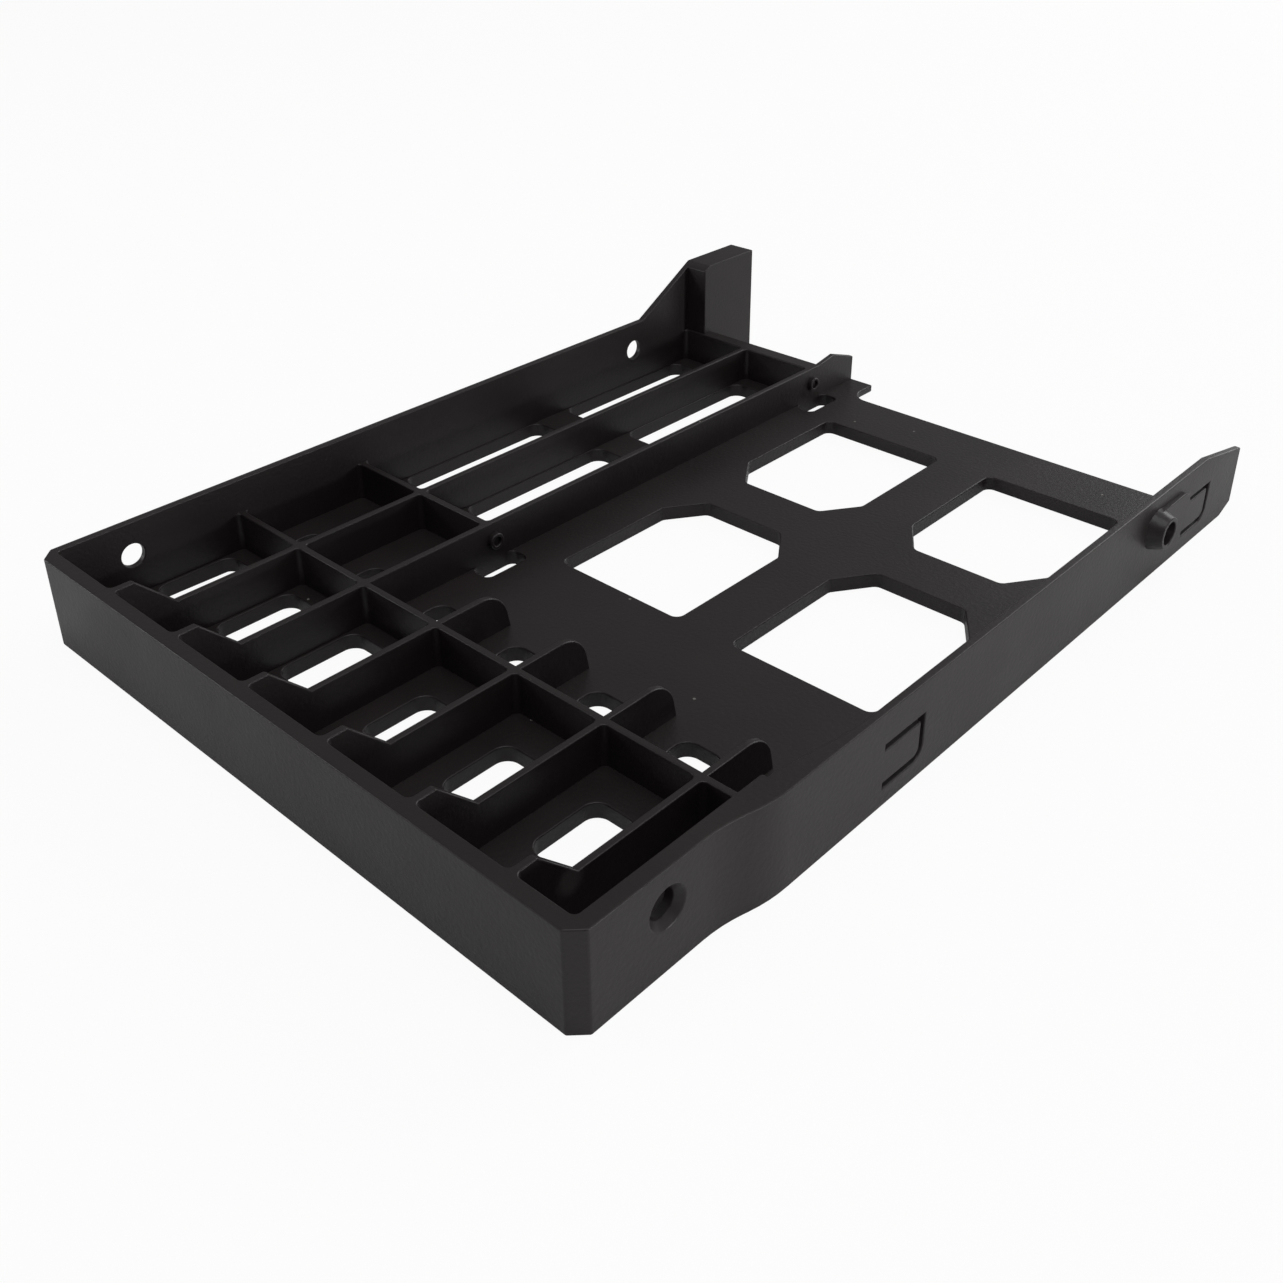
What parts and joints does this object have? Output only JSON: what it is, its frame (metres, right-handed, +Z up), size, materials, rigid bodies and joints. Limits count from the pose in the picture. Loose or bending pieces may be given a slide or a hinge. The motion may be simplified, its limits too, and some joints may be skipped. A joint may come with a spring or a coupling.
{
  "type": "hard drive tray",
  "caption": "Shallow black plastic drive tray: ribbed front lattice, open bay with floor windows, snap-tongue side rail and a raised rear ear.",
  "frame": {"origin": "middle of the bottom of the bounding box", "axes": "+X from the left wall to the right rail, +Y from the front wall to the open rear end, +Z up"},
  "size_m": [0.1042, 0.143, 0.0214],
  "materials": {
    "tray_plastic": "black moulded plastic with a fine satin texture"
  },
  "bodies": {
    "root": {"tray": "tray_plastic"}
  },
  "joints": []
}
